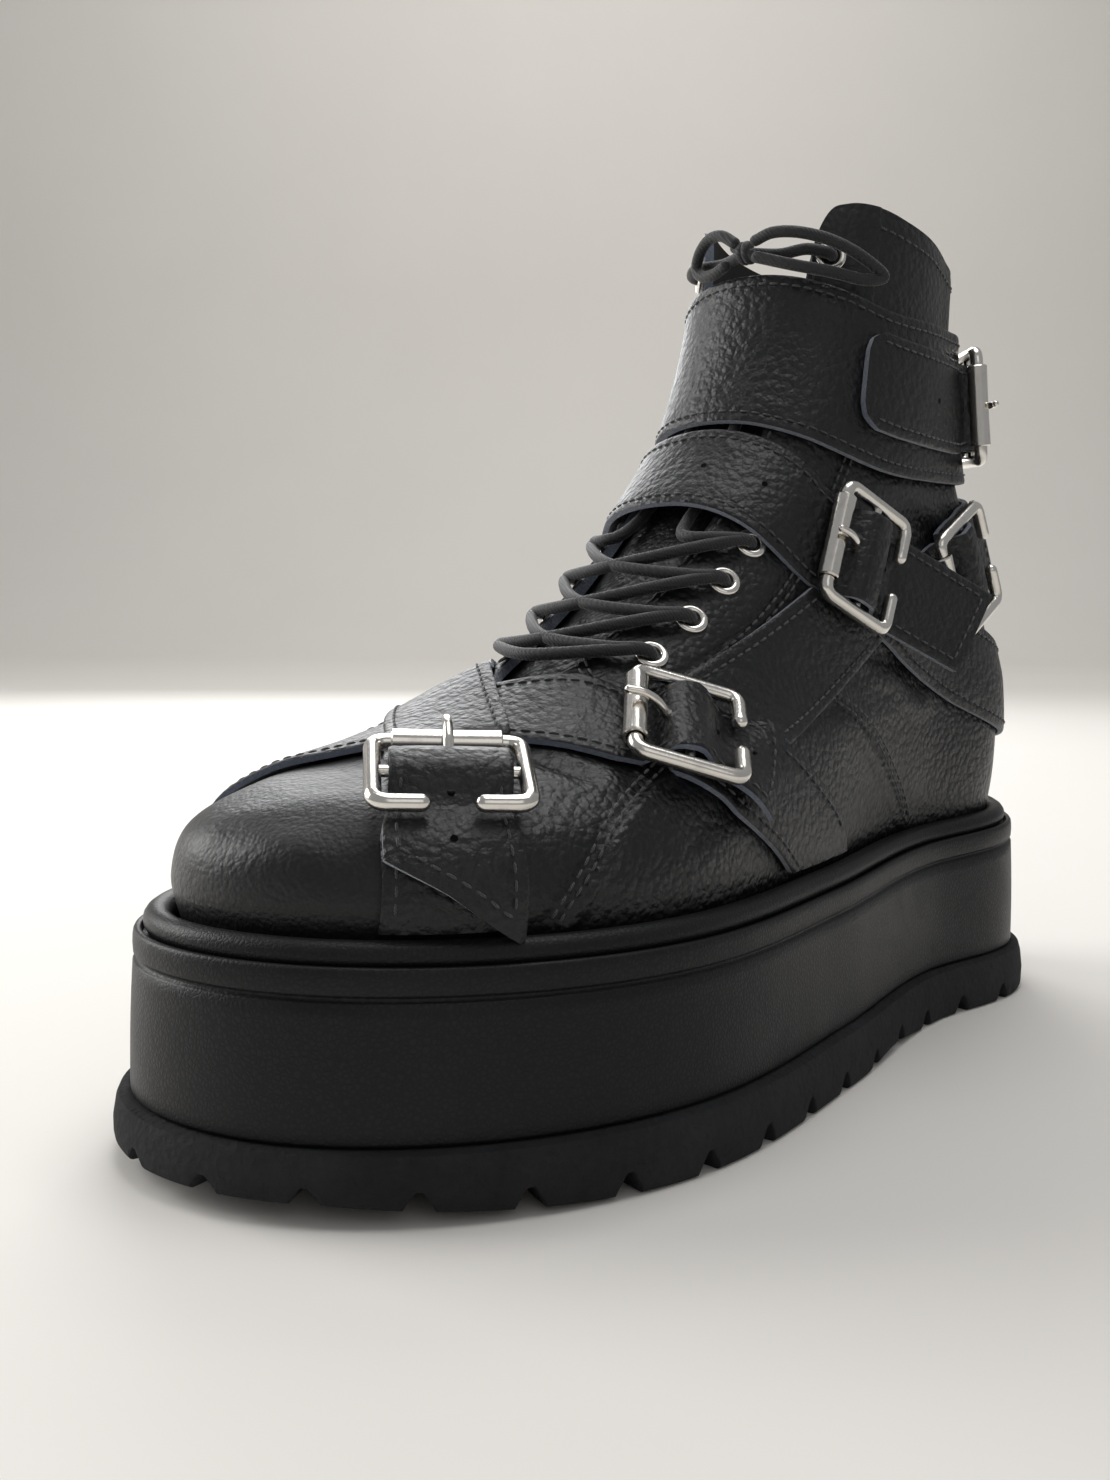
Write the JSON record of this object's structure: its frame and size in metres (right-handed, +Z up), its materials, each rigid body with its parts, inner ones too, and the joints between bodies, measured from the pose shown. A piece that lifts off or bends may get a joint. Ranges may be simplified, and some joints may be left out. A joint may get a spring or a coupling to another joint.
{
  "type": "platform boot",
  "caption": "Chunky-soled lace-up ankle boot with buckled straps over toe, vamp and ankle and a wide buckled cuff, on a tall lugged platform.",
  "frame": {"origin": "under the middle of the boot, on the floor", "axes": "+Y towards the heel, toe to -Y, outer side to +X, +Z up"},
  "size_m": [0.1288, 0.2992, 0.2172],
  "materials": {
    "tread_rubber": "rough matt dark grey rubber",
    "platform_rubber": "satin black, fine leather-like grain",
    "lining": "matt dark lining",
    "black_leather": "pebbled black leather with a soft sheen",
    "nickel": "bright polished nickel",
    "lace": "round woven black lace"
  },
  "bodies": {
    "root": {"outsole": "tread_rubber", "midsole": "platform_rubber", "welt": "platform_rubber", "insole": "lining", "upper": "black_leather", "tongue": "black_leather", "toe_strap": "black_leather", "toe_strap_anchor": "black_leather", "vamp_strap": "black_leather", "vamp_strap_anchor": "black_leather", "ankle_strap": "black_leather", "heel_strap": "black_leather", "rear_strap": "black_leather", "rear_strap_anchor": "black_leather", "cross_strap": "black_leather", "cuff": "black_leather", "cuff_strap": "black_leather", "cuff_strap_anchor": "black_leather", "toe_buckle": "nickel", "toe_roller": "nickel", "toe_prong": "nickel", "vamp_buckle": "nickel", "vamp_roller": "nickel", "vamp_prong": "nickel", "ankle_buckle": "nickel", "ankle_roller": "nickel", "ankle_prong": "nickel", "rear_buckle": "nickel", "rear_roller": "nickel", "rear_prong": "nickel", "cuff_buckle": "nickel", "cuff_roller": "nickel", "cuff_prong": "nickel", "eyelet_outer_1": "nickel", "eyelet_inner_1": "nickel", "eyelet_outer_2": "nickel", "eyelet_inner_2": "nickel", "eyelet_outer_3": "nickel", "eyelet_inner_3": "nickel", "eyelet_outer_4": "nickel", "eyelet_inner_4": "nickel", "eyelet_outer_5": "nickel", "eyelet_inner_5": "nickel", "lace_crossings": "lace", "lace_knot": "lace", "lace_loop_inner": "lace", "lace_loop_outer": "lace"}
  },
  "joints": []
}
